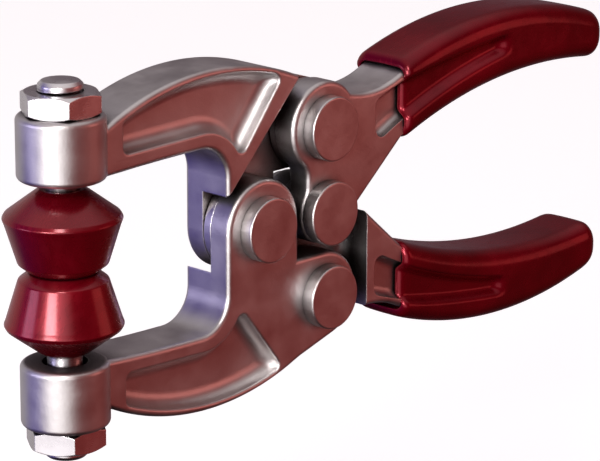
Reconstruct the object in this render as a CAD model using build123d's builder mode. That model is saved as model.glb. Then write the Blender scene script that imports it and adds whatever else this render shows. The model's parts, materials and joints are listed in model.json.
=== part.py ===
"""Squeeze-action toggle plier clamp, in millimetres.

Origin: the point where the two cushion caps meet. +X runs from there to the handles, +Z is along
the upper spindle, and -Y is the side with the rivet heads. The lower jaw and the lower handle are
the upper ones turned half a turn about X. The clamp is drawn closed.
"""
import os
from math import asin, cos, degrees, radians, sin, sqrt, tan

from build123d import *

os.makedirs("parts", exist_ok=True)

# Linkage: four pivots, seen from the main pivot
main_pivot_x = 65.0          # clamping axis to main pivot
link = 24.0                  # jaw pivot to toggle pivot, and main pivot to toggle pivot when closed
handle_swing = 40.0          # each handle's turn from closed to fully open, degrees
jaw_swing = 45 - degrees(asin(cos(radians(handle_swing)) / sqrt(2)))   # each jaw's turn

# Forgings: every arm is half_thick either side of the mid-plane, and its ears lap in two layers
half_thick = 8.45
lap_gap = 1.5                # inner face of each ear, from the mid-plane
main_ear_r = 13.5            # ear at the main pivot, flush with the throat
jaw_ear_r = 12.4             # jaw's ear at the handle pivot
handle_ear_r = 12.8          # handle's ear at the same pivot
toggle_ear_r = 9.1
edge_r = 1.4                 # rounding of the forged edges
jaw_pocket_depth, jaw_floor_r = 4.4, 4.0          # sunk panels in the sides of the jaws
handle_pocket_depth, handle_floor_r = 3.0, 2.6    # and of the handles
pocket_rim_r = 0.7

# Jaw arm, seen from the main pivot
arm_top_x, arm_top_z = -19.0, 47.0
arm_top_r = 82.0
throat_z = 25.8
throat_corner_r = 9.6
shoulder_x, shoulder_r = 14.0, 30.0      # where the arm's top edge leaves the arch
ear_lean = radians(16)       # from the top of the ear to where that edge meets it
step_r = 17.4                # distance of the sloping lap step from the main pivot
step_slope = radians(47)

# Boss, spindle, nut and cap, along Z
boss_r, boss_edge_r = 11.8, 1.5
boss_low, boss_high = 24.5, 41.7
thread_r, thread_fit = 6.0, 0.05        # M12
thread_low, thread_high = 26.0, 50.9
thread_chamfer = 1.4
spindle_neck_r = 4.7
spindle_head_r, head_low, head_high = 8.0, 9.5, 14.0
nut_flats, nut_height, nut_chamfer_r = 19.0, 6.0, 9.4
cap_gap = 0.15               # half the gap left between the closed caps
cap_face_r = 8.6
cap_corner_r, cap_corner_z = 11.9, 2.6
cap_max_r, cap_max_z = 15.8, 14.5
cap_top_r, cap_top_z = 6.2, 22.0

# Rivets and washers
rivet_head_r, rivet_head_h = 9.0, 3.9
rivet_r, toggle_rivet_r = 5.0, 4.0
pin_fit = 0.05
side_gap = 0.15              # running gap beside a turning ear
tail_washer_r, tail_washer_t = 8.2, 1.5
tail_r, tail_h, tail_round = 6.4, 2.2, 1.6
toggle_slack = 0.35          # left round the toggle rivet at its furthest drift

# Handles and grips, seen from the main pivot
neck_step_x, neck_step_r = 40.8, 4.0    # where a handle fills both layers
web_x, waist_r = 17.2, 6.0   # inner edge of a handle between its two ears, and its blends
tang_end_x, grip_end_x = 138.0, 143.6
grip_start_x = 55.0
grip_wall = 2.5
grip_edge_r = 5.0
handle_pocket_x, handle_pocket_end_x = 43.8, 97.0

pivot = Plane(origin=(main_pivot_x, 0, 0), x_dir=(1, 0, 0), z_dir=(0, -1, 0))
rear_face = pivot.offset(-half_thick)
front_face = pivot.offset(half_thick)
rear_lap = pivot.offset(-lap_gap)
front_lap = pivot.offset(lap_gap)
jaw_pivot = (link, link)
toggle_pivot = (link, 0)
flip = (180, 0, 0)           # turns an upper part into the matching lower one


def finish(part, label):
    """Name a finished piece and write it."""
    part.label = label
    export_step(part, f"parts/{label}.step")


def arch_z(x):
    """Height of the arm's top edge at x."""
    return arm_top_z - arm_top_r + sqrt(arm_top_r**2 - (x - arm_top_x) ** 2)


def step_z(x):
    """Height of the sloping lap step at x."""
    return step_r / cos(step_slope) + x * tan(step_slope)


def jaw_outline():
    """Side outline of the upper jaw, with its ears for the main pivot and the handle pivot."""
    start_x = -main_pivot_x + boss_r / 2
    corner_x = -main_ear_r - throat_corner_r
    corner_z = throat_z - throat_corner_r
    bend = throat_corner_r * (1 - cos(radians(45)))
    shoulder = (shoulder_x, arch_z(shoulder_x))
    crest = (link + jaw_ear_r * sin(ear_lean), link + jaw_ear_r * cos(ear_lean))
    with BuildSketch() as outline:
        with BuildLine():
            Line((start_x, arch_z(start_x)), (start_x, boss_low))
            ThreePointArc((start_x, boss_low), (-39, throat_z - 0.3), (corner_x, throat_z))
            ThreePointArc((corner_x, throat_z), (-main_ear_r - bend, throat_z - bend),
                          (-main_ear_r, corner_z))
            Line((-main_ear_r, corner_z), (-main_ear_r, 0))
            ThreePointArc((-main_ear_r, 0), (0, -main_ear_r), (main_ear_r, 0))
            Polyline((main_ear_r, 0), (main_ear_r, link - jaw_ear_r), (link, link - jaw_ear_r))
            ThreePointArc((link, link - jaw_ear_r), (link + jaw_ear_r, link), crest)
            Line(crest, shoulder)
            ThreePointArc(shoulder, (arm_top_x, arm_top_z), (start_x, arch_z(start_x)))
        make_face()
        fillet(outline.vertices().sort_by_distance(shoulder)[0], shoulder_r)
    return outline.sketch


def lap_outline():
    """The side beyond the sloping step, where the upper jaw's front layer is cut away."""
    reach = 3 * link
    with BuildSketch() as outline:
        with BuildLine():
            Polyline((-reach, step_z(-reach)), (reach, step_z(reach)), (reach, -reach), close=True)
        make_face()
    return outline.sketch


def jaw_pocket_outline():
    """Outline of the sunk panel in the side of the upper jaw."""
    with BuildSketch() as outline:
        with BuildLine():
            ThreePointArc((-51, 38.2), (-20, 45.0), (7.2, 41.2))
            Line((7.2, 41.2), (-8.6, 21.0))
            ThreePointArc((-8.6, 21.0), (-13.4, 27.4), (-22, 30.4))
            Polyline((-22, 30.4), (-51, 29.6), (-51, 38.2))
        make_face()
        fillet(outline.vertices(), 2.0)
    return outline.sketch


def handle_outline():
    """Side outline of the upper handle, from its two ears to the end of its tang."""
    with BuildSketch() as outline:
        with BuildLine():
            Polyline((web_x, link), (web_x, 0), (29.7, -6.5), (57, 17.4))
            ThreePointArc((57, 17.4), (94, 28.0), (tang_end_x, 28.2))
            ThreePointArc((tang_end_x, 28.2), (tang_end_x + 3.2, 32.8), (tang_end_x, 37.2))
            ThreePointArc((tang_end_x, 37.2), (94, 42.9), (57, 35.2))
            ThreePointArc((57, 35.2), (42, 30.9), (29.4, 33.4))
            Line((29.4, 33.4), (web_x, link))
        make_face()
        with Locations(jaw_pivot):
            Circle(handle_ear_r)
        with Locations(toggle_pivot):
            Circle(toggle_ear_r)
        fillet(outline.vertices().filter_by_position(Axis.X, web_x - 0.1, web_x + 0.1), waist_r)
    return outline.sketch


def handle_pocket_outline():
    """Outline of the sunk panel that makes the handle an I-section."""
    start_x, end_x = handle_pocket_x, handle_pocket_end_x
    with BuildSketch() as outline:
        with BuildLine():
            ThreePointArc((start_x, 15.4), (66, 25.2), (end_x, 31.5))
            Line((end_x, 31.5), (end_x, 38.8))
            ThreePointArc((end_x, 38.8), (66, 34.8), (start_x, 28.2))
            Line((start_x, 28.2), (start_x, 15.4))
        make_face()
        fillet(outline.vertices(), 2.8)
    return outline.sketch


def pocket_floor(part):
    """Edges round the floor of the pocket that was cut last, in the front or the rear face."""
    floors = part.faces(Select.LAST).filter_by(Axis.Y)
    inner = [face for face in floors if abs(face.center().Y) < half_thick - pocket_rim_r]
    return inner[0].edges()


# Upper jaw: arm, boss, and rear ears for the main pivot and the handle pivot
with BuildPart() as upper_jaw:
    with BuildSketch(rear_face):
        add(jaw_outline())
    extrude(amount=2 * half_thick)
    fillet(upper_jaw.faces().sort_by(Axis.Y)[0].edges(), edge_r)
    fillet(upper_jaw.faces().sort_by(Axis.Y)[-1].edges(), edge_r)
    with BuildSketch(rear_lap):
        add(lap_outline())
    extrude(amount=2 * half_thick, mode=Mode.SUBTRACT)
    for face_plane, inward in ((front_face, -jaw_pocket_depth), (rear_face, jaw_pocket_depth)):
        with BuildSketch(face_plane):
            add(jaw_pocket_outline())
        extrude(amount=inward, mode=Mode.SUBTRACT)
        fillet(pocket_floor(upper_jaw), jaw_floor_r)
    for end in (0, -1):
        fillet(upper_jaw.faces().sort_by(Axis.Y)[end].inner_wires()[0].edges(), pocket_rim_r)
    with BuildSketch(Plane.XZ) as boss_section:
        with Locations((0, boss_low)):
            Rectangle(boss_r, boss_high - boss_low, align=(Align.MIN, Align.MIN))
        fillet(boss_section.vertices().group_by(Axis.X)[-1], boss_edge_r)
    revolve(axis=Axis.Z)
    with BuildSketch(rear_face):
        with Locations((0, 0), jaw_pivot):
            Circle(rivet_r + pin_fit)
    extrude(amount=2 * half_thick, mode=Mode.SUBTRACT)
    with BuildSketch(Plane.XY.offset(boss_low)):
        Circle(thread_r + thread_fit)
    extrude(amount=boss_high - boss_low, mode=Mode.SUBTRACT)
finish(upper_jaw.part, "upper_jaw")

# Lower jaw: the same forging, turned over
with BuildPart() as lower_jaw:
    add(upper_jaw.part, rotation=flip)
finish(lower_jaw.part, "lower_jaw")


def handle(label, toggle_bore_r, bore_shift, rotation):
    """A handle: front ears for the jaw pivot and the toggle pivot, and a tang inside the grip."""
    with BuildPart() as blank:
        with BuildSketch(rear_face):
            add(handle_outline())
        extrude(amount=2 * half_thick)
        for end in (0, -1):
            rim = blank.faces().sort_by(Axis.Y)[end].edges()
            fillet(rim.filter_by_position(Axis.X, 0, main_pivot_x + grip_start_x + 1), edge_r)
        with BuildSketch(rear_face):
            with Locations((neck_step_x, 0)):
                Rectangle(2 * link, 4 * link, align=(Align.MAX, Align.CENTER))
        extrude(amount=half_thick + lap_gap, mode=Mode.SUBTRACT)
        foot = blank.edges().filter_by(Axis.Z).filter_by_position(
            Axis.X, main_pivot_x + neck_step_x - 0.1, main_pivot_x + neck_step_x + 0.1)
        fillet(foot.sort_by(Axis.Y)[0], neck_step_r)
        for face_plane, inward in ((front_face, -handle_pocket_depth), (rear_face, handle_pocket_depth)):
            with BuildSketch(face_plane):
                add(handle_pocket_outline())
            extrude(amount=inward, mode=Mode.SUBTRACT)
            fillet(pocket_floor(blank), handle_floor_r)
        with BuildSketch(rear_face):
            with Locations(jaw_pivot):
                Circle(rivet_r + pin_fit)
            with Locations((link + bore_shift[0], bore_shift[1])):
                Circle(toggle_bore_r)
        extrude(amount=2 * half_thick, mode=Mode.SUBTRACT)
    with BuildPart() as placed:
        add(blank.part, rotation=rotation)
    finish(placed.part, label)
    return placed.part


def grip_outline():
    """Side outline of the upper grip, a dipped skin a little outside the handle's tang."""
    mouth_low, mouth_high = (grip_start_x, 14.6), (grip_start_x, 37.4)
    end_low, end_high = (tang_end_x, 25.6), (tang_end_x, 39.8)
    with BuildSketch() as outline:
        with BuildLine():
            Line(mouth_low, mouth_high)
            ThreePointArc(mouth_high, (96, 45.5), end_high)
            ThreePointArc(end_high, (grip_end_x, 32.6), end_low)
            ThreePointArc(end_low, (94, 25.4), mouth_low)
        make_face()
    return outline.sketch


def grip(label, handle_part, rotation):
    """A dipped sleeve over the tang of a handle."""
    with BuildPart() as sleeve:
        with BuildSketch(pivot.offset(-half_thick - grip_wall)):
            add(grip_outline())
        extrude(amount=2 * (half_thick + grip_wall))
        sides = sleeve.faces().sort_by(Axis.Y)
        rims = sides[0].edges() + sides[-1].edges()
        past_mouth = main_pivot_x + grip_start_x + 1
        fillet(rims.filter_by_position(Axis.X, past_mouth, 2 * past_mouth), grip_edge_r)
    with BuildPart() as placed:
        add(sleeve.part, rotation=rotation)
        add(handle_part, mode=Mode.SUBTRACT)
    finish(placed.part, label)


# The linkage is a closed loop, and a constant ratio between its joints fits it exactly only when
# closed and fully open. In between the toggle rivet strays, so the lower handle's bore is larger.
half_swing = radians(handle_swing / 2)
drift = 2 * link * (cos(half_swing) - sqrt(2) * sin(radians(45 - jaw_swing / 2)))
drift_x, drift_z = drift * sin(half_swing), drift * cos(half_swing)
slack_bore_r = toggle_rivet_r + drift / 2 + toggle_slack

upper_handle = handle("upper_handle", toggle_rivet_r + pin_fit, (0, 0), (0, 0, 0))
lower_handle = handle("lower_handle", slack_bore_r, (drift_x / 2, drift_z / 2), flip)
grip("upper_grip", upper_handle, (0, 0, 0))
grip("lower_grip", lower_handle, flip)


def rivet(label, centre, shank_r):
    """A rivet: flat head in front, shank through both ears, and peened tail behind."""
    tail_start = half_thick + side_gap + tail_washer_t
    with BuildPart() as pin:
        with BuildSketch(front_face):
            with Locations(centre):
                Circle(rivet_head_r)
        extrude(amount=rivet_head_h)
        fillet(pin.edges().sort_by(Axis.Y)[0], 0.5)
        with BuildSketch(front_face):
            with Locations(centre):
                Circle(shank_r)
        extrude(amount=-half_thick - tail_start)
        with BuildSketch(pivot.offset(-tail_start)):
            with Locations(centre):
                Circle(tail_r)
        extrude(amount=-tail_h)
        fillet(pin.edges().sort_by(Axis.Y)[-1], tail_round)
    finish(pin.part, label)


def washer(label, centre, plane, thickness, outer_r, inner_r, bevel):
    """A flat ring on a pivot, from the plane towards +Y."""
    with BuildPart() as ring:
        with BuildSketch(plane):
            with Locations(centre):
                Circle(outer_r)
                Circle(inner_r, mode=Mode.SUBTRACT)
        extrude(amount=-thickness)
        rims = ring.edges().filter_by(GeomType.CIRCLE).group_by(SortBy.RADIUS)[-1]
        fillet(rims, bevel)
    finish(ring.part, label)


pivots = {
    "main": ((0, 0), rivet_r, main_ear_r),
    "upper": (jaw_pivot, rivet_r, jaw_ear_r),
    "lower": ((link, -link), rivet_r, jaw_ear_r),
    "toggle": (toggle_pivot, toggle_rivet_r, toggle_ear_r),
}
tail_seat = pivot.offset(-half_thick - side_gap)
for place, (centre, shank_r, ear_r) in pivots.items():
    bore_r = shank_r + pin_fit
    rivet(f"{place}_rivet", centre, shank_r)
    washer(f"{place}_thrust_washer", centre, front_lap, 2 * lap_gap - side_gap, ear_r, bore_r, 0.3)
    washer(f"{place}_tail_washer", centre, tail_seat, tail_washer_t, tail_washer_r, bore_r, 0.3)

# Upper spindle: a threaded stud with a necked-down end and a disc head inside the cap
with BuildPart() as upper_spindle:
    with BuildSketch(Plane.XZ):
        with BuildLine():
            Polyline((0, head_low), (spindle_head_r, head_low), (spindle_head_r, head_high),
                     (spindle_neck_r, head_high), (spindle_neck_r, thread_low - 1),
                     (thread_r, thread_low), (thread_r, thread_high - thread_chamfer),
                     (thread_r - thread_chamfer, thread_high), (0, thread_high), close=True)
        make_face()
    revolve(axis=Axis.Z)

# Jam nut: a thin hexagon, chamfered at both ends
with BuildPart() as upper_nut:
    corner_r = nut_flats / 2 / cos(radians(30))
    nut_slope = (corner_r - nut_chamfer_r) * tan(radians(30))
    nut_top = boss_high + nut_height
    with BuildSketch(Plane.XY.offset(boss_high)):
        RegularPolygon(corner_r, 6)
        Circle(thread_r + thread_fit, mode=Mode.SUBTRACT)
    extrude(amount=nut_height)
    with BuildSketch(Plane.XZ):
        with BuildLine():
            Polyline((0, boss_high), (nut_chamfer_r, boss_high),
                     (corner_r, boss_high + nut_slope), (corner_r, nut_top - nut_slope),
                     (nut_chamfer_r, nut_top), (0, nut_top), close=True)
        make_face()
    revolve(axis=Axis.Z, mode=Mode.INTERSECT)

# Cushion cap: a double cone moulded over the spindle's head
with BuildPart() as upper_cap:
    with BuildSketch(Plane.XZ):
        with BuildLine():
            Polyline((0, cap_gap), (cap_face_r, cap_gap), (cap_corner_r, cap_corner_z),
                     (cap_max_r, cap_max_z), (cap_top_r, cap_top_z), (spindle_neck_r, cap_top_z),
                     (spindle_neck_r, head_high), (spindle_head_r, head_high),
                     (spindle_head_r, head_low), (0, head_low), close=True)
        make_face()
    revolve(axis=Axis.Z)

for name, upper in (("spindle", upper_spindle), ("jam_nut", upper_nut), ("cap", upper_cap)):
    with BuildPart() as lower:
        add(upper.part, rotation=flip)
    finish(upper.part, f"upper_{name}")
    finish(lower.part, f"lower_{name}")
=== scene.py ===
"""Looks of a squeeze-action toggle plier clamp: satin forged steel, dipped red vinyl, soft studio.

The CAD model is the frame. Its jaws, handles, rivets, washers and nuts stay and get a finish.
The grips, cushion caps and spindles are replaced by finer meshes in the same places.
"""
import json
from math import cos, hypot, pi, radians, sin, sqrt, tan

import bmesh
import bpy
from mathutils import Matrix, Quaternion, Vector


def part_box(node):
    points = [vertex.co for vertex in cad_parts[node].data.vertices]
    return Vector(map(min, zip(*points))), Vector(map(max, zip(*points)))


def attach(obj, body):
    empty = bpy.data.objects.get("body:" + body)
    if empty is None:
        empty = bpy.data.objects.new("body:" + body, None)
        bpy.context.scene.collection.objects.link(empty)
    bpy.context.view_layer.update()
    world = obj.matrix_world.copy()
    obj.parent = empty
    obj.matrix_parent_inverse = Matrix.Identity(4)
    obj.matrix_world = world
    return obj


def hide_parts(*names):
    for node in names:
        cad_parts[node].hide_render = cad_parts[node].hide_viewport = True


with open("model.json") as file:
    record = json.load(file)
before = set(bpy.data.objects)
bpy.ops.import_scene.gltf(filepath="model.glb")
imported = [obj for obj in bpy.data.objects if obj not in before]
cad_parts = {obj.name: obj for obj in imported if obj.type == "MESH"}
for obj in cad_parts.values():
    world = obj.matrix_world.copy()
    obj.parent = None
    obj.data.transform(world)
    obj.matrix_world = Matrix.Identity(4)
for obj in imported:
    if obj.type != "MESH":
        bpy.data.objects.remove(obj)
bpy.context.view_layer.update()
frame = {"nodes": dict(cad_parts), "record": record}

scene = bpy.context.scene
MM = 0.001

FLIP = Matrix.Rotation(pi, 4, "X")       # turns an upper piece into the matching lower one


def middle(node):
    """The centre of a CAD node's box at rest, in metres."""
    low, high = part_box(node)
    return (low + high) / 2


# ---------------------------------------------------------------- camera, floor and light

def make_camera():
    """The studio camera: from the front left, a little above the clamp."""
    azimuth, elevation, roll = radians(-45.755), radians(15.79), radians(0.22)
    aim, distance = Vector((0.0875, 0, -0.0068)), 0.883
    back = Vector((sin(azimuth) * cos(elevation), -cos(azimuth) * cos(elevation), sin(elevation)))
    data = bpy.data.cameras.new("studio_camera")
    data.lens, data.sensor_width = 190.7, 36
    camera = bpy.data.objects.new("studio_camera", data)
    camera.location = aim + back * distance
    camera.rotation_mode = "QUATERNION"
    camera.rotation_quaternion = (-back).to_track_quat("-Z", "Y") @ Quaternion((0, 0, 1), roll)
    scene.collection.objects.link(camera)
    scene.camera = camera


def area_light(name, place, target, size, power, colour):
    """A soft square light that faces the target."""
    data = bpy.data.lights.new(name, "AREA")
    data.shape, data.size, data.energy, data.color = "SQUARE", size, power, colour
    light = bpy.data.objects.new(name, data)
    light.location = place
    light.visible_camera = False
    light.rotation_mode = "QUATERNION"
    light.rotation_quaternion = (Vector(target) - Vector(place)).to_track_quat("-Z", "Y")
    scene.collection.objects.link(light)


def make_floor():
    """A wide pale floor, low enough for the lower handle to swing down over it when the jaws open."""
    pivot = middle("lower_rivet")
    grip_low, grip_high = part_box("lower_grip")
    lowest = pivot.z - hypot(grip_high.x - pivot.x, grip_low.z - pivot.z)
    half_side = 12
    mesh = bpy.data.meshes.new("floor")
    corners = [(-half_side, -half_side), (half_side, -half_side), (half_side, half_side),
               (-half_side, half_side)]
    mesh.from_pydata([(x, y, lowest) for x, y in corners], [], [(0, 1, 2, 3)])
    floor = bpy.data.objects.new("floor", mesh)
    floor.visible_glossy = floor.visible_diffuse = False      # so that it lights no underside
    scene.collection.objects.link(floor)
    graph = Graph("floor_paper")
    graph.surface.inputs["Base Color"].default_value = (0.6, 0.6, 0.6, 1)
    graph.surface.inputs["Roughness"].default_value = 0.9
    graph.surface.inputs["Emission Color"].default_value = (1, 1, 1, 1)
    graph.surface.inputs["Emission Strength"].default_value = 0.62
    mesh.materials.append(graph.material)


def make_world():
    """Tinted studio walls that the steel mirrors, a plain wall behind, and a white screen at the left."""
    warm, violet, taupe = (0.24, 0.034, 0.031), (0.08, 0.05, 0.36), (0.17, 0.135, 0.15)
    screen, ceiling, pit = (2.0, 1.95, 1.95), (0.9, 0.84, 0.84), (0.008, 0.004, 0.005)
    plaster = (0.55, 0.51, 0.51)
    screen_direction = (-0.87, -0.49, 0)
    world = bpy.data.worlds.new("studio")
    scene.world = world
    world.use_nodes = True
    tree = world.node_tree
    tree.nodes.clear()

    def add(kind, **values):
        node = tree.nodes.new(kind)
        for key, value in values.items():
            setattr(node, key, value)
        return node

    def mix(factor, low, high):
        node = add("ShaderNodeMix", data_type="RGBA")
        tree.links.new(factor, node.inputs["Factor"])
        for socket, value in (("A", low), ("B", high)):
            colour_socket = [s for s in node.inputs if s.name == socket and s.type == "RGBA"][0]
            if isinstance(value, tuple):
                colour_socket.default_value = (*value, 1)
            else:
                tree.links.new(value, colour_socket)
        return [s for s in node.outputs if s.type == "RGBA"][0]

    def ramp(value, low, high):
        node = add("ShaderNodeMapRange", interpolation_type="SMOOTHSTEP")
        tree.links.new(value, node.inputs["Value"])
        node.inputs["From Min"].default_value = low
        node.inputs["From Max"].default_value = high
        return node.outputs["Result"]

    direction = add("ShaderNodeTexCoord").outputs["Generated"]
    axes = add("ShaderNodeSeparateXYZ")
    tree.links.new(direction, axes.inputs[0])
    right = ramp(axes.outputs["X"], -0.35, 0.35)
    rear = ramp(axes.outputs["Y"], -0.3, 0.35)
    behind = ramp(axes.outputs["Y"], 0.72, 0.95)
    walls = mix(behind, mix(rear, warm, mix(right, violet, taupe)), plaster)
    to_screen = add("ShaderNodeVectorMath", operation="DOT_PRODUCT")
    tree.links.new(direction, to_screen.inputs[0])
    to_screen.inputs[1].default_value = screen_direction
    with_screen = mix(ramp(to_screen.outputs["Value"], 0.70, 0.97), walls, screen)
    with_pit = mix(ramp(axes.outputs["Z"], -0.35, -0.95), with_screen, pit)
    room = mix(ramp(axes.outputs["Z"], 0.50, 0.97), with_pit, ceiling)
    studio = add("ShaderNodeBackground")
    tree.links.new(room, studio.inputs["Color"])
    studio.inputs["Strength"].default_value = 0.9
    paper = add("ShaderNodeBackground")
    paper.inputs["Color"].default_value = (1, 1, 1, 1)
    rays = add("ShaderNodeLightPath")
    choose = add("ShaderNodeMixShader")
    tree.links.new(rays.outputs["Is Camera Ray"], choose.inputs[0])
    tree.links.new(studio.outputs[0], choose.inputs[1])
    tree.links.new(paper.outputs[0], choose.inputs[2])
    tree.links.new(choose.outputs[0], add("ShaderNodeOutputWorld").inputs["Surface"])


# ---------------------------------------------------------------- materials

WORN_STEEL, STEEL_PAINTED_SHADE = (0.86, 0.85, 0.85), (0.025, 0.017, 0.017)
RUBBED_VINYL, VINYL_PAINTED_SHADE = (0.42, 0.02, 0.035), (0.03, 0.0, 0.002)
STEEL_SHADE_REACH, VINYL_SHADE_REACH = 13 * MM, 3 * MM          # how far out of a corner the painted shade spreads
STEEL_EDGE, VINYL_EDGE = 0.7 * MM, 0.8 * MM        # width of the rubbed edges
SOFT_EDGE = 0.35 * MM                              # small rounding that every steel edge shows


class Graph:
    """A node material, with short ways to add and join nodes."""

    def __init__(self, name):
        self.material = bpy.data.materials.new(name)
        self.material.use_nodes = True
        self.tree = self.material.node_tree
        self.surface = self.tree.nodes["Principled BSDF"]
        self.place = self.tree.nodes.new("ShaderNodeTexCoord").outputs["Object"]

    def feed(self, value, socket):
        """Joins a node's output to a socket, or sets the socket's own value."""
        if isinstance(value, bpy.types.NodeSocket):
            self.tree.links.new(value, socket)
        elif isinstance(value, tuple) and len(value) == 3 and socket.type == "RGBA":
            socket.default_value = (*value, 1)
        else:
            socket.default_value = value

    def noise(self, scale, detail, stretch=(1, 1, 1)):
        """Fractal noise, where scale is in cells per metre."""
        mapping = self.tree.nodes.new("ShaderNodeMapping")
        mapping.inputs["Scale"].default_value = stretch
        self.feed(self.place, mapping.inputs["Vector"])
        node = self.tree.nodes.new("ShaderNodeTexNoise")
        self.feed(mapping.outputs[0], node.inputs["Vector"])
        node.inputs["Scale"].default_value = scale
        node.inputs["Detail"].default_value = detail
        return node.outputs["Fac"]

    def remap(self, value, low, high, to_low=0.0, to_high=1.0):
        """Stretches the range low to high over the range to_low to to_high."""
        node = self.tree.nodes.new("ShaderNodeMapRange")
        for socket, given in zip(node.inputs[:5], (value, low, high, to_low, to_high)):
            self.feed(given, socket)
        return node.outputs["Result"]

    def maths(self, operation, first, second):
        """One arithmetic step."""
        node = self.tree.nodes.new("ShaderNodeMath")
        node.operation = operation
        self.feed(first, node.inputs[0])
        self.feed(second, node.inputs[1])
        return node.outputs[0]

    def mix(self, factor, low, high):
        """Mixes two colours."""
        node = self.tree.nodes.new("ShaderNodeMix")
        node.data_type = "RGBA"
        self.feed(factor, node.inputs["Factor"])
        first, second = [socket for socket in node.inputs if socket.type == "RGBA"]
        self.feed(low, first)
        self.feed(high, second)
        return [socket for socket in node.outputs if socket.type == "RGBA"][0]

    def soft_normal(self, radius):
        """The normal with every edge rounded by the radius."""
        node = self.tree.nodes.new("ShaderNodeBevel")
        node.samples = 4
        node.inputs["Radius"].default_value = radius
        return node.outputs["Normal"]

    def edges(self, radius):
        """1 on outer and inner edges, 0 on flats."""
        geometry = self.tree.nodes.new("ShaderNodeNewGeometry")
        likeness = self.tree.nodes.new("ShaderNodeVectorMath")
        likeness.operation = "DOT_PRODUCT"
        self.feed(self.soft_normal(radius), likeness.inputs[0])
        self.feed(geometry.outputs["Normal"], likeness.inputs[1])
        return self.remap(likeness.outputs["Value"], 0.995, 0.90)

    def hollows(self, reach):
        """1 deep in corners and recesses, 0 in the open, from ambient occlusion: the mask for painted
        shade in corners.
        """
        node = self.tree.nodes.new("ShaderNodeAmbientOcclusion")
        node.samples = 6
        node.inputs["Distance"].default_value = reach
        return self.remap(node.outputs["AO"], 0.66, 0.36)

    def bump(self, height, depth, normal=None):
        """A bump of the given depth in metres, as the surface's normal."""
        node = self.tree.nodes.new("ShaderNodeBump")
        node.inputs["Distance"].default_value = depth
        self.feed(height, node.inputs["Height"])
        if normal is not None:
            self.feed(normal, node.inputs["Normal"])
        self.feed(node.outputs["Normal"], self.surface.inputs["Normal"])


def steel(name, dark, light, rough, grain_depth, brushed):
    """Satin steel: cloudy tone, fine grain, faint brushing, painted shade and more roughness in corners,
    and bright worn edges.
    """
    graph = Graph(name)
    clouds = graph.noise(scale=110, detail=5)
    grain = graph.noise(scale=1500, detail=6)
    dimples = graph.noise(scale=430, detail=3)
    brushing = graph.noise(scale=60, detail=4, stretch=(4, 4, 45))
    worn = graph.maths("MULTIPLY", graph.edges(STEEL_EDGE), graph.remap(grain, 0.3, 0.6))
    # occlusion mask: it darkens the colour in corners and recesses as painted shade, and raises the
    # roughness there
    shade_and_grime = graph.hollows(STEEL_SHADE_REACH)
    tone = graph.mix(graph.remap(clouds, 0.3, 0.7), dark, light)
    bright = graph.mix(worn, tone, WORN_STEEL)
    # painted shade: the colour goes nearly black in corners, gaps and recesses
    with_painted_shade = graph.mix(shade_and_grime, bright, STEEL_PAINTED_SHADE)
    graph.feed(with_painted_shade, graph.surface.inputs["Base Color"])
    graph.surface.inputs["Metallic"].default_value = 1.0
    patchy = graph.remap(clouds, 0.3, 0.7, rough - 0.05, rough + 0.06)
    streaked = graph.maths("ADD", patchy, graph.remap(brushing, 0.3, 0.7, -brushed, brushed))
    dirty = graph.maths("ADD", streaked, graph.remap(shade_and_grime, 0.0, 1.0, 0.0, 0.18))
    graph.feed(graph.maths("SUBTRACT", dirty, graph.remap(worn, 0.0, 1.0, 0.0, 0.08)),
               graph.surface.inputs["Roughness"])
    relief = graph.maths("ADD", grain, graph.maths("MULTIPLY", dimples, 1.2))
    relief = graph.maths("ADD", relief, graph.maths("MULTIPLY", brushing, 12 * brushed))
    graph.bump(relief, grain_depth, graph.soft_normal(SOFT_EDGE))
    return graph.material


def vinyl(name, deep, fresh, rough, coat, ripple_depth):
    """Glossy red plastisol: slow colour drift, orange-peel skin, fine scuffs, and corners that are duller
    and darkened with painted shade.
    """
    graph = Graph(name)
    drift = graph.noise(scale=55, detail=3)
    peel = graph.noise(scale=900, detail=4)
    ripple = graph.noise(scale=130, detail=2)
    scuffs = graph.noise(scale=260, detail=6, stretch=(1, 3, 1))
    # occlusion mask: painted shade darkens the colour in corners, and dust raises the roughness there
    dust_and_shade = graph.hollows(VINYL_SHADE_REACH)
    tone = graph.mix(graph.remap(drift, 0.3, 0.7), deep, fresh)
    rubbed = graph.mix(graph.maths("MULTIPLY", graph.edges(VINYL_EDGE), 0.25), tone, RUBBED_VINYL)
    # painted shade: darker red in corners and recesses
    graph.feed(graph.mix(graph.maths("MULTIPLY", dust_and_shade, 0.55), rubbed, VINYL_PAINTED_SHADE),
               graph.surface.inputs["Base Color"])
    dull = graph.remap(scuffs, 0.45, 0.75, rough, rough + 0.16)
    graph.feed(graph.maths("ADD", dull, graph.remap(dust_and_shade, 0.0, 1.0, 0.0, 0.15)),
               graph.surface.inputs["Roughness"])
    graph.surface.inputs["Metallic"].default_value = 0.50
    graph.surface.inputs["Specular Tint"].default_value = (1.0, 0.35, 0.42, 1)
    graph.surface.inputs["Coat Weight"].default_value = coat
    graph.surface.inputs["Coat Roughness"].default_value = 0.16
    relief = graph.maths("ADD", ripple, graph.maths("MULTIPLY", peel, 0.12))
    graph.bump(relief, ripple_depth)
    return graph.material


# ---------------------------------------------------------------- mesh helpers

def new_piece(name, mesh, material, body, replaced, flipped):
    """Places a finished mesh, smooth shaded, in the frame."""
    if flipped:
        mesh.transform(FLIP)
    for polygon in mesh.polygons:
        polygon.use_smooth = True
    mesh.materials.append(material)
    piece = bpy.data.objects.new(name, mesh)
    scene.collection.objects.link(piece)
    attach(piece, body)
    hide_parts(replaced)
    return piece


def smooth(low, high, value):
    """A soft step: 0 at low, 1 at high."""
    t = min(1.0, max(0.0, (value - low) / (high - low)))
    return t * t * (3 - 2 * t)


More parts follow.
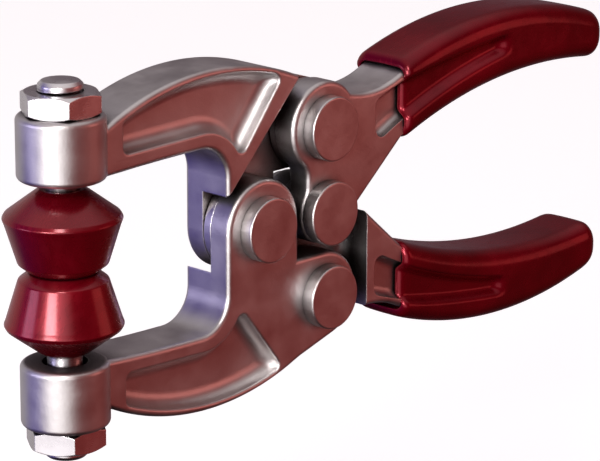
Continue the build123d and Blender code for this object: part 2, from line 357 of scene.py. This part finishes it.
def rounded(corners, steps=5):
    """A profile of (radius, height, rounding) corners, with each corner as a smooth arc."""
    points = []
    for index, (r, z, rounding) in enumerate(corners):
        here = Vector((r, z))
        if rounding == 0 or index in (0, len(corners) - 1):
            points.append(here)
            continue
        before = (Vector(corners[index - 1][:2]) - here).normalized()
        after = (Vector(corners[index + 1][:2]) - here).normalized()
        reach = rounding / tan(before.angle(after) / 2)
        start, end = here + before * reach, here + after * reach
        for step in range(steps + 1):
            t = step / steps
            points.append(start * (1 - t) ** 2 + here * 2 * t * (1 - t) + end * t ** 2)
    return points


def lathe(name, profile, segments, radius_at=None):
    """Turns a profile in millimetres, which starts and ends on the axis, about Z."""
    made = bmesh.new()
    rings = []
    for r, z in profile:
        if r == 0:
            rings.append([made.verts.new((0, 0, z * MM))] * segments)
            continue
        ring = []
        for step in range(segments):
            angle = 2 * pi * step / segments
            radius = (radius_at(r, angle, z) if radius_at else r) * MM
            ring.append(made.verts.new((radius * cos(angle), radius * sin(angle), z * MM)))
        rings.append(ring)
    for low, high in zip(rings, rings[1:]):
        for step in range(segments):
            following = (step + 1) % segments
            loop = [low[step], low[following], high[following], high[step]]
            made.faces.new(list(dict.fromkeys(loop)))
    bmesh.ops.recalc_face_normals(made, faces=made.faces)
    mesh = bpy.data.meshes.new(name)
    made.to_mesh(mesh)
    made.free()
    return mesh


# ---------------------------------------------------------------- cushion caps and spindles

def cap_mesh(name):
    """A moulded double cone: rounded rims, a dished face, and a raised parting line at its waist."""
    profile = rounded([                         # radius, height and rounding of each corner
        (0, 0.55, 0), (4.5, 0.55, 2), (7.2, 0.18, 1.2), (9.2, 0.18, 0.9), (11.9, 2.3, 1.2),
        (15.2, 12.9, 1.0), (15.75, 14.3, 0.7), (15.1, 15.4, 0.8), (7.4, 21.2, 1.2),
        (6.0, 22.0, 0.6), (4.75, 22.0, 0.1), (4.75, 14.0, 0), (0, 14.0, 0)])
    return lathe(name, profile, segments=96)


def spindle_mesh(name):
    """An M12 stud: a disc head inside the cap, a neck, a helical thread and a plain domed end."""
    major, pitch, depth = 5.98, 1.75, 1.05
    neck_r, head_r = 4.7, 7.6
    head_low, head_high = 10.0, 13.8
    thread_low, thread_high = 26.0, 48.6
    groove_width, groove_slope = 1.25, 2.9      # in shares of the depth and of the pitch
    rings_per_turn, segments = 14, 64

    def radius_at(r, angle, z):
        """The thread's radius: a flattened V that climbs one pitch a turn, and fades at both ends."""
        if not thread_low < z < thread_high:
            return r
        phase = (z / pitch - angle / (2 * pi)) % 1
        groove = min(1.0, max(0.0, groove_width - groove_slope * abs(phase - 0.5)))
        groove *= smooth(thread_high, thread_high - pitch / 2, z)
        run_in = neck_r + max(0.0, z - thread_low)
        return min(run_in, major - depth * groove)

    count = round((thread_high - thread_low) / pitch * rings_per_turn)
    thread = [(major, thread_low + (thread_high - thread_low) * step / count)
              for step in range(count + 1)]
    thread[0] = (neck_r, thread_low)
    end = rounded([(major, 48.7, 0), (major, 49.5, 0.6), (5.0, 50.5, 0.9), (2.6, 50.9, 1.2), (0, 50.9, 0)])
    head = [(0, head_low), (head_r, head_low), (head_r, head_high), (neck_r, head_high)]
    return lathe(name, [*head, *thread, *end], segments, radius_at)


# ---------------------------------------------------------------- grips

def arc_through(first, middle, last):
    """The height at x of the circle through three points, on the side that the points are."""
    (ax, az), (bx, bz), (cx, cz) = first, middle, last
    d = 2 * (ax * (bz - cz) + bx * (cz - az) + cx * (az - bz))
    a2, b2, c2 = ax**2 + az**2, bx**2 + bz**2, cx**2 + cz**2
    x0 = (a2 * (bz - cz) + b2 * (cz - az) + c2 * (az - bz)) / d
    z0 = (a2 * (cx - bx) + b2 * (ax - cx) + c2 * (bx - ax)) / d
    radius = hypot(ax - x0, az - z0)
    side = 1 if bz > z0 else -1
    return lambda x: z0 + side * sqrt(max(0.0, radius**2 - (x - x0) ** 2))


MAIN_PIVOT_X = middle("main_rivet").x / MM
GRIP_BACK = arc_through((55, 37.4), (96, 45.5), (138, 39.8))       # millimetres from the main pivot
GRIP_BELLY = arc_through((55, 14.6), (94, 25.4), (138, 25.6))
PANEL_TOP = arc_through((54, 32.6), (81, 37.2), (97, 38.9))        # the sunk web between two flanges
PANEL_LOW = arc_through((53, 20.7), (75, 28.6), (97, 33.6))
GRIP_START, GRIP_END, GRIP_ARCS_END = 55.0, 142.9, 138.0
GRIP_HALF_WIDTH, GRIP_CORNER, GRIP_NOSE = 10.8, 4.6, 6.2
GRIP_WALL, GRIP_LIP, GRIP_CROWN = 2.3, 2.0, 0.35
SKIN_INSET = 0.15                  # the skin lies this far inside the two arcs, before its crown
PANEL_END, PANEL_DEPTH = 97.0, 2.7
PANEL_FLANK_IN, PANEL_FLANK_OUT = 2.2, 0.8         # how far its flank reaches either side of its edge
PANEL_FADE_IN, PANEL_FADE_OUT = 2.2, 1.4           # and the same for its far end
SIDE_START, SIDE_FULL = 0.55, 0.9                  # shares of the half width where the sides begin


def section(x, wall_in):
    """One loop of the grip's skin at x: a rounded box drawn in by wall_in, sunk between the flanges."""
    level_x = min(x, GRIP_ARCS_END)
    top, low = GRIP_BACK(level_x), GRIP_BELLY(level_x)
    past_shoulder = max(0.0, x - (GRIP_END - GRIP_NOSE))
    end_in = GRIP_NOSE - sqrt(max(0.0, GRIP_NOSE**2 - past_shoulder**2))
    centre = (top + low) / 2
    half_height = (top - low) / 2 - SKIN_INSET - wall_in - end_in
    half_width = GRIP_HALF_WIDTH - wall_in - end_in
    corner = max(0.4, min(GRIP_CORNER - wall_in, half_height - 0.1, half_width - 0.1))
    panel_low = PANEL_LOW(min(x, PANEL_END + 2))
    panel_top = PANEL_TOP(min(x, PANEL_END + 2))
    panel_centre, panel_half = (panel_top + panel_low) / 2, (panel_top - panel_low) / 2
    fade = 1 - smooth(PANEL_END - PANEL_FADE_IN, PANEL_END + PANEL_FADE_OUT, x)

    def skin(y, z):
        """A point of the section, crowned a little on top and sunk at the panel."""
        crown = GRIP_CROWN * (1 - (y / half_width) ** 2) * (z / half_height)
        off_centre = abs(centre + z - panel_centre)
        flank = smooth(panel_half - PANEL_FLANK_IN, panel_half + PANEL_FLANK_OUT, off_centre)
        sunk = PANEL_DEPTH * fade * (1 - flank)
        on_side = smooth(SIDE_START * half_width, SIDE_FULL * half_width, abs(y))
        y -= sunk * on_side * (1 if y > 0 else -1)
        return Vector(((MAIN_PIVOT_X + x) * MM, y * MM, (centre + z + crown) * MM))

    loop = []
    quarters = [(1, 1, 0), (-1, 1, 90), (-1, -1, 180), (1, -1, 270)]
    arc_steps = 7
    for index, (y_side, z_side, start) in enumerate(quarters):
        y_hub, z_hub = (half_width - corner) * y_side, (half_height - corner) * z_side
        for step in range(arc_steps + 1):
            angle = radians(start + 90 * step / arc_steps)
            loop.append(skin(y_hub + corner * cos(angle), z_hub + corner * sin(angle)))
        across = index % 2 == 0                 # next comes a straight run over the top or bottom
        run_steps = 8 if across else 22
        for step in range(1, run_steps):
            share = 1 - 2 * step / run_steps
            if across:
                loop.append(skin((half_width - corner) * y_side * share, half_height * z_side))
            else:
                loop.append(skin(half_width * y_side, (half_height - corner) * z_side * share))
    return loop


def grip_mesh(name):
    """A dipped sleeve: rolled mouth, sunk sides over the handle's web, and a blunt rounded end."""
    stations = [(GRIP_START + 5.0, GRIP_WALL), (GRIP_START + 1.0, GRIP_WALL)]      # inside the mouth
    lip_steps = 6
    for step in range(lip_steps + 1):
        swing = radians(90 * step / lip_steps)
        rolled = (GRIP_WALL - SKIN_INSET) * (1 - sin(swing))
        stations.append((GRIP_START + GRIP_LIP * (1 - cos(swing)), rolled))
    run_start, run_end, run_steps = GRIP_START + GRIP_LIP + 1.5, GRIP_END - GRIP_NOSE, 56
    for step in range(run_steps + 1):
        stations.append((run_start + (run_end - run_start) * step / run_steps, 0))
    end_steps = 7
    for step in range(1, end_steps + 1):
        stations.append((run_end + (GRIP_NOSE - 0.05) * sin(radians(90 * step / end_steps)), 0))
    made = bmesh.new()
    rings = [[made.verts.new(point) for point in section(*station)] for station in stations]
    count = len(rings[0])
    for near, far in zip(rings, rings[1:]):
        for step in range(count):
            following = (step + 1) % count
            made.faces.new([near[step], near[following], far[following], far[step]])
    for ring in (rings[0], rings[-1]):
        hub = made.verts.new(sum((vert.co for vert in ring), Vector()) / count)
        for step in range(count):
            made.faces.new([ring[step], ring[(step + 1) % count], hub])
    bmesh.ops.recalc_face_normals(made, faces=made.faces)
    mesh = bpy.data.meshes.new(name)
    made.to_mesh(mesh)
    made.free()
    return mesh


# ---------------------------------------------------------------- build

scene.view_settings.view_transform = "Standard"
make_camera()
make_world()
make_floor()
centre_point = (0.09, 0, 0)
area_light("key", (-0.66, -0.60, 0.80), centre_point, 0.30, 4.5, (1, 0.97, 0.95))
area_light("front_screen", (-1.03, -0.40, 0.20), centre_point, 0.42, 10, (1, 0.98, 0.98))
area_light("warm_side", (0.75, -0.75, 0.15), centre_point, 0.5, 0.8, (1, 0.35, 0.3))
area_light("violet_side", (-0.85, 0.42, 0.1), centre_point, 0.4, 1.8, (0.74, 0.70, 1))

forged = steel("forged_steel", (0.50, 0.475, 0.475), (0.61, 0.585, 0.58), 0.38, 0.028 * MM, 0.02)
machined = steel("rivet_steel", (0.50, 0.47, 0.47), (0.62, 0.60, 0.59), 0.36, 0.025 * MM, 0.03)
ground = steel("washer_steel", (0.52, 0.50, 0.50), (0.66, 0.64, 0.64), 0.33, 0.02 * MM, 0.03)
plated = steel("screw_steel", (0.60, 0.58, 0.60), (0.76, 0.74, 0.75), 0.27, 0.007 * MM, 0.02)
dipped = vinyl("dipped_vinyl", (0.10, 0.0001, 0.004), (0.17, 0.0002, 0.007), 0.20, 0.22, 0.10 * MM)
moulded = vinyl("cap_vinyl", (0.11, 0.0001, 0.004), (0.19, 0.0002, 0.007), 0.25, 0.6, 0.05 * MM)

FINISH = {"forged_steel": forged, "rivet_steel": machined, "washer_steel": ground,
          "screw_steel": plated, "red_vinyl": moulded}
for row in frame["record"]["subparts"]:
    finish_material = FINISH[row["material_slot"]]
    node_mesh = frame["nodes"][row["node"]].data
    node_mesh.materials.clear()
    node_mesh.materials.append(finish_material)

for side in ("upper", "lower"):
    turned = side == "lower"
    new_piece(f"{side}_cushion_cap", cap_mesh(f"{side}_cushion_cap"), moulded,
              f"{side}_spindle", f"{side}_cap", turned)
    new_piece(f"{side}_threaded_spindle", spindle_mesh(f"{side}_threaded_spindle"), plated,
              f"{side}_spindle", f"{side}_spindle", turned)
    grip = new_piece(f"{side}_dipped_grip", grip_mesh(f"{side}_dipped_grip"), dipped,
                     f"{side}_handle", f"{side}_grip", turned)
    grip.modifiers.new("smooth_skin", "SUBSURF").render_levels = 1
